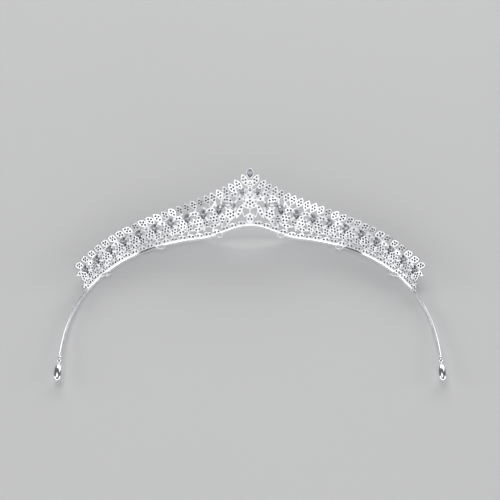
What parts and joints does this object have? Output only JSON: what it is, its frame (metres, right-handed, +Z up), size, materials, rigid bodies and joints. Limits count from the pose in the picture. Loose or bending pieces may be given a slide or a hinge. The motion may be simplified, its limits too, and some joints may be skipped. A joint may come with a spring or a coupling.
{
  "type": "bridal tiara",
  "caption": "Openwork bridal tiara: a leaning crown of stone-set leaf plates on a polished head band with drop ends and inner hair-pin loops.",
  "frame": {"origin": "on the surface the tiara rests on, under the centre of its bounding box", "axes": "+X to the wearer's right, +Y to the front the wearer faces, +Z up"},
  "size_m": [0.149, 0.0976, 0.0311],
  "materials": {
    "polished_metal": "rhodium plated, mirror polished",
    "set_metal": "rhodium plated, cast and lightly polished",
    "stone": "faceted clear cubic zirconia"
  },
  "bodies": {
    "root": {"base_row_left": "set_metal", "base_row_right": "set_metal", "centre_marquise": "stone", "centre_motif": "set_metal", "centre_pear_left": "stone", "centre_pear_right": "stone", "crown_left_01": "set_metal", "crown_left_02": "set_metal", "crown_left_03": "set_metal", "crown_left_04": "set_metal", "crown_left_05": "set_metal", "crown_left_06": "set_metal", "crown_left_07": "set_metal", "crown_left_08": "set_metal", "crown_left_09": "set_metal", "crown_left_10": "set_metal", "crown_right_01": "set_metal", "crown_right_02": "set_metal", "crown_right_03": "set_metal", "crown_right_04": "set_metal", "crown_right_05": "set_metal", "crown_right_06": "set_metal", "crown_right_07": "set_metal", "crown_right_08": "set_metal", "crown_right_09": "set_metal", "crown_right_10": "set_metal", "end_drop_left": "polished_metal", "end_drop_right": "polished_metal", "head_band": "polished_metal", "pear_stone_left_01": "stone", "pear_stone_left_02": "stone", "pear_stone_left_03": "stone", "pear_stone_left_04": "stone", "pear_stone_left_05": "stone", "pear_stone_left_06": "stone", "pear_stone_left_07": "stone", "pear_stone_left_08": "stone", "pear_stone_left_09": "stone", "pear_stone_left_10": "stone", "pear_stone_right_01": "stone", "pear_stone_right_02": "stone", "pear_stone_right_03": "stone", "pear_stone_right_04": "stone", "pear_stone_right_05": "stone", "pear_stone_right_06": "stone", "pear_stone_right_07": "stone", "pear_stone_right_08": "stone", "pear_stone_right_09": "stone", "pear_stone_right_10": "stone", "pin_loop_left_1": "polished_metal", "pin_loop_left_2": "polished_metal", "pin_loop_left_3": "polished_metal", "pin_loop_right_1": "polished_metal", "pin_loop_right_2": "polished_metal", "pin_loop_right_3": "polished_metal", "shoulder_left": "set_metal", "shoulder_right": "set_metal"}
  },
  "joints": []
}
